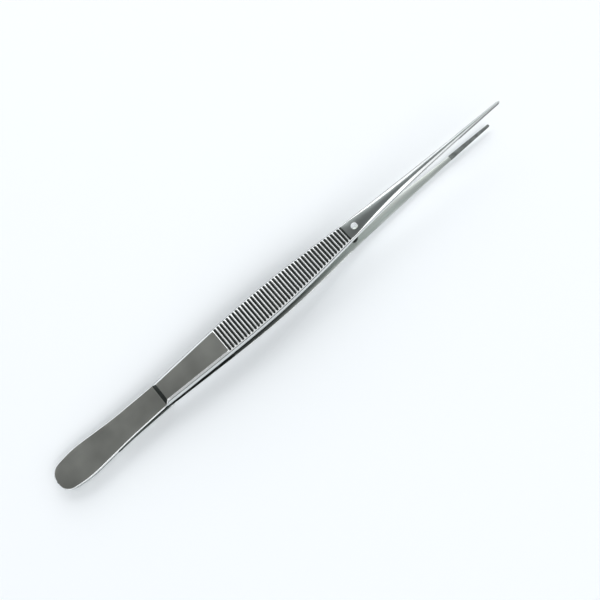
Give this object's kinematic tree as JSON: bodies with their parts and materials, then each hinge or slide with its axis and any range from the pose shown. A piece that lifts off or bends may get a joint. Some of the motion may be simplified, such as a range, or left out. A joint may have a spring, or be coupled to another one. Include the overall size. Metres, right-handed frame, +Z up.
{
  "type": "thumb forceps",
  "caption": "Thumb forceps: two sprung steel arms joined at the tail, cross-grooved grips, a guide pin and slender jaws with hard-metal inserts.",
  "frame": {"origin": "centre of the footprint, on the surface that the forceps lie on", "axes": "+X from the welded tail towards the jaw tips, +Z up from the lower arm to the upper arm, +Y across the grips"},
  "size_m": [0.1802, 0.0106, 0.0177],
  "materials": {
    "arm_steel": "satin stainless steel, finely brushed, with brighter bevels",
    "pin_steel": "turned stainless steel",
    "insert_metal": "dull dark grey sintered hard metal"
  },
  "bodies": {
    "root": {"upper_arm": "arm_steel", "lower_arm": "arm_steel", "guide_pin": "pin_steel", "upper_insert": "insert_metal", "lower_insert": "insert_metal"}
  },
  "joints": []
}
